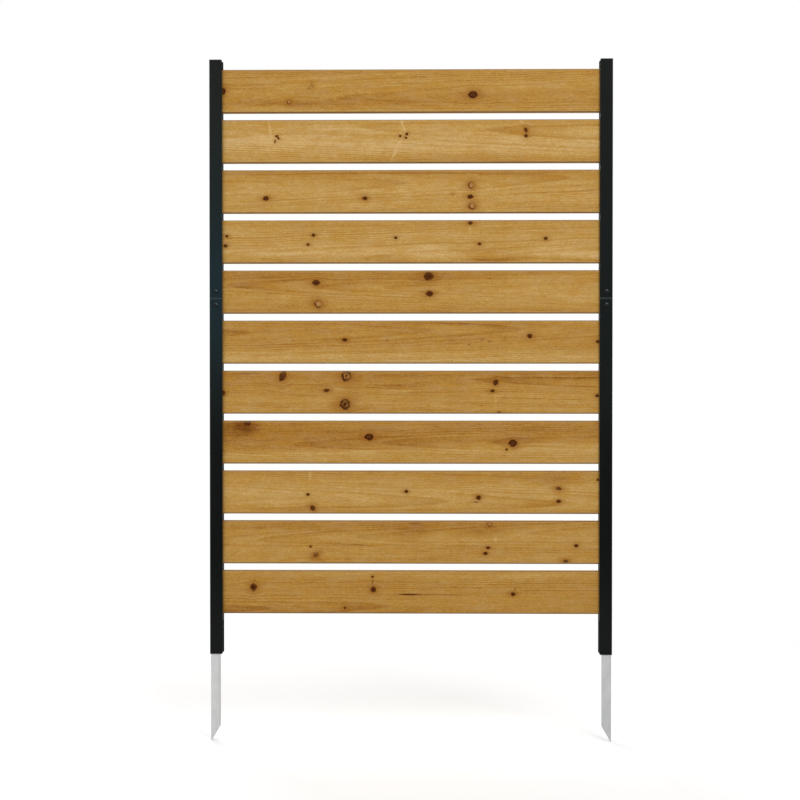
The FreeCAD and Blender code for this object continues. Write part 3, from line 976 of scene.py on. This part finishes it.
def build_camera(sizes):
    """Camera at the photograph's viewing angle, with no shift."""
    data = bpy.data.cameras.new("camera")
    camera = bpy.data.objects.new("camera", data)
    bpy.context.scene.collection.objects.link(camera)
    target = Vector((sizes.aim_side, FRONT, sizes.aim_height))
    turn, tilt = sizes.camera_turn, sizes.camera_tilt
    back = Vector((math.sin(turn) * math.cos(tilt), -math.cos(turn) * math.cos(tilt),
                   math.sin(tilt)))
    camera.location = target + back * sizes.camera_distance
    aim(camera, target)
    data.sensor_width = 36
    data.lens = data.sensor_width * sizes.camera_distance / sizes.picture_width
    data.clip_end = 60
    bpy.context.scene.camera = camera


# ---------------- operators


class SCREEN_OT_boards(bpy.types.Operator):
    """Stain the fir boards, each with its own bands, rings, knots and streaks"""

    bl_idname = "privacy_screen.boards"
    bl_label = "Boards"

    def execute(self, context):
        sizes, colours = context.scene.screen_sizes, context.scene.screen_colours
        if len(BOARD_NAMES) != len(BOARDS):
            raise RuntimeError("the frame has another number of boards than the finishes")
        recipes = (knot_recipe(), streak_recipe(), grain_recipe(sizes.ring_spacing / MM),
                   stain_recipe(colours))
        for number, (name, board) in enumerate(zip(BOARD_NAMES, BOARDS), start=1):
            low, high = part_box(name)
            middle = (low.z + high.z) / 2
            dress([name], fir_board(f"stained_fir_{number:02d}", number, board, middle, recipes))
        return {"FINISHED"}


class SCREEN_OT_posts(bpy.types.Operator):
    """Powder-coat the four post sections, with wear and a painted highlight at their sheared ends
    """

    bl_idname = "privacy_screen.posts"
    bl_label = "Posts"

    def execute(self, context):
        seed_step = 5.7
        for number, name in enumerate(POST_NAMES):
            cast = CASTS["left_post" if name.startswith("left") else "right_post"]
            edges = [corner.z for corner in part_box(name)]
            dress([name], powder_coat(name, number * seed_step, cast, edges,
                                      context.scene.screen_colours))
        return {"FINISHED"}


class SCREEN_OT_splices(bpy.types.Operator):
    """Powder-coat the two splice channels hidden behind the seams"""

    bl_idname = "privacy_screen.splices"
    bl_label = "Splice channels"

    def execute(self, context):
        seed = 31.3
        edges = [corner.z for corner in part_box(SPLICE_NAMES[0])]
        dress(SPLICE_NAMES, powder_coat("splices", seed, CASTS["splices"], edges,
                                        context.scene.screen_colours))
        return {"FINISHED"}


class SCREEN_OT_spacers(bpy.types.Operator):
    """Give the moulded spacers in the channels their plastic"""

    bl_idname = "privacy_screen.spacers"
    bl_label = "Spacers"

    def execute(self, context):
        dress(SPACER_NAMES, moulded(context.scene.screen_colours))
        return {"FINISHED"}


class SCREEN_OT_stakes(bpy.types.Operator):
    """Galvanise the two ground stakes"""

    bl_idname = "privacy_screen.stakes"
    bl_label = "Ground stakes"

    def execute(self, context):
        dress(STAKE_NAMES, galvanised(context.scene.screen_colours))
        return {"FINISHED"}


class SCREEN_OT_screws(bpy.types.Operator):
    """Build the pan-head screws with their threads and cross recesses"""

    bl_idname = "privacy_screen.screws"
    bl_label = "Screws"

    def execute(self, context):
        sizes = context.scene.screen_sizes
        oxide = blackened(context.scene.screen_colours)
        build_screws("splice_screws", -1, oxide, sizes)
        build_screws("stake_screws", 1, oxide, sizes)
        return {"FINISHED"}


class SCREEN_OT_stage(bpy.types.Operator):
    """Set up the pale floor, the soft lamps, the white surroundings and the camera"""

    bl_idname = "privacy_screen.stage"
    bl_label = "Studio"

    def execute(self, context):
        sizes, colours = context.scene.screen_sizes, context.scene.screen_colours
        middle = (0.0, 0.0, sizes.aim_height)
        build_floor(sizes, colours)
        build_world()
        for name, (place, side, watts) in LAMPS.items():
            soft_lamp(name, place, side, watts, middle)
        build_camera(sizes)
        context.scene.view_settings.view_transform = "Standard"
        return {"FINISHED"}


OPERATORS = (SCREEN_OT_boards, SCREEN_OT_posts, SCREEN_OT_splices, SCREEN_OT_spacers,
             SCREEN_OT_stakes, SCREEN_OT_screws, SCREEN_OT_stage)


class SCREEN_PT_panel(bpy.types.Panel):
    """Lists the screen's sizes, colours and steps"""

    bl_idname = "SCREEN_PT_panel"
    bl_label = "Garden privacy screen"
    bl_space_type = "VIEW_3D"
    bl_region_type = "UI"
    bl_category = "Screen"

    def draw(self, context):
        column = self.layout.column()
        for operator in OPERATORS:
            column.operator(operator.bl_idname)
        for group in (context.scene.screen_sizes, context.scene.screen_colours):
            for name in group.__annotations__:
                column.prop(group, name)


CLASSES = (ScreenSizes, ScreenColours, *OPERATORS, SCREEN_PT_panel)


def register():
    for each in CLASSES:
        bpy.utils.register_class(each)
    bpy.types.Scene.screen_sizes = PointerProperty(type=ScreenSizes)
    bpy.types.Scene.screen_colours = PointerProperty(type=ScreenColours)


def unregister():
    del bpy.types.Scene.screen_colours
    del bpy.types.Scene.screen_sizes
    for each in reversed(CLASSES):
        bpy.utils.unregister_class(each)


def main():
    register()
    bpy.ops.privacy_screen.stage()
    bpy.ops.privacy_screen.boards()
    bpy.ops.privacy_screen.posts()
    bpy.ops.privacy_screen.splices()
    bpy.ops.privacy_screen.spacers()
    bpy.ops.privacy_screen.stakes()
    bpy.ops.privacy_screen.screws()


if __name__ == "__main__":
    main()
